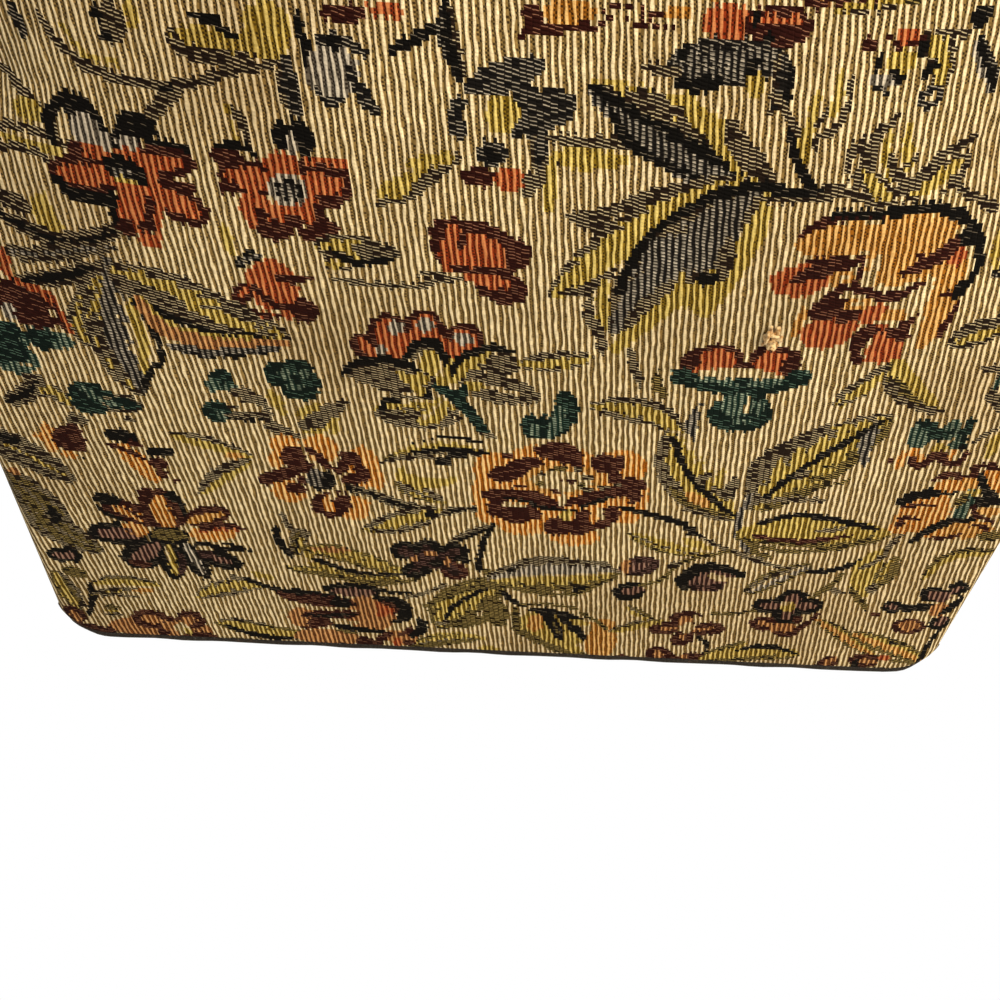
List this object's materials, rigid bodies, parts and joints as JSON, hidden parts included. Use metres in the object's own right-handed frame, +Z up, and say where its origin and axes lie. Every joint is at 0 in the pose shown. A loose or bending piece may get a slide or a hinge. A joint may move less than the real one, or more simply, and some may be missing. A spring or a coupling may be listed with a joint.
{
  "type": "carpet bag",
  "caption": "Tapestry carpet bag with piped seams, pleated sides and a flat base, hung from a hinged brass frame with a ball clasp and rolled handles.",
  "frame": {"origin": "middle of the base on the floor", "axes": "+Z up, +X along the width to the right seen from the front, the front faces -Y"},
  "size_m": [0.305, 0.1236, 0.3795],
  "materials": {
    "tapestry": "woven",
    "lining": "matte",
    "leatherette": "satin",
    "board": "matte",
    "brass": "aged"
  },
  "bodies": {
    "bag": {"front_panel": "tapestry", "rear_panel": "tapestry", "left_gusset": "tapestry", "right_gusset": "tapestry", "base_panel": "leatherette", "base_board": "board", "lining": "lining", "front_piping": "leatherette", "rear_piping": "leatherette", "left_hinge_rivet": "brass", "right_hinge_rivet": "brass"},
    "front_jaw": {"front_jaw": "brass", "front_clasp": "brass", "front_left_handle_plate": "brass", "front_right_handle_plate": "brass"},
    "rear_jaw": {"rear_jaw": "brass", "rear_clasp": "brass", "rear_left_handle_plate": "brass", "rear_right_handle_plate": "brass"},
    "front_handle": {"front_handle": "leatherette", "front_left_ring": "brass", "front_right_ring": "brass"},
    "rear_handle": {"rear_handle": "leatherette", "rear_left_ring": "brass", "rear_right_ring": "brass"}
  },
  "joints": [
    {"name": "front_jaw_hinge", "type": "hinge", "parent": "bag", "child": "front_jaw", "pos_m": [0, 0, 0.205], "axis": [1, 0, 0], "range_deg": [0, 75]},
    {"name": "rear_jaw_hinge", "type": "hinge", "parent": "bag", "child": "rear_jaw", "pos_m": [0, 0, 0.205], "axis": [-1, 0, 0], "range_deg": [0, 75]},
    {"name": "front_handle_swing", "type": "hinge", "parent": "front_jaw", "child": "front_handle", "pos_m": [0, -0.01161, 0.262], "axis": [1, 0, 0], "range_deg": [-3, 100]},
    {"name": "rear_handle_swing", "type": "hinge", "parent": "rear_jaw", "child": "rear_handle", "pos_m": [0, 0.01161, 0.262], "axis": [-1, 0, 0], "range_deg": [-3, 100]}
  ]
}
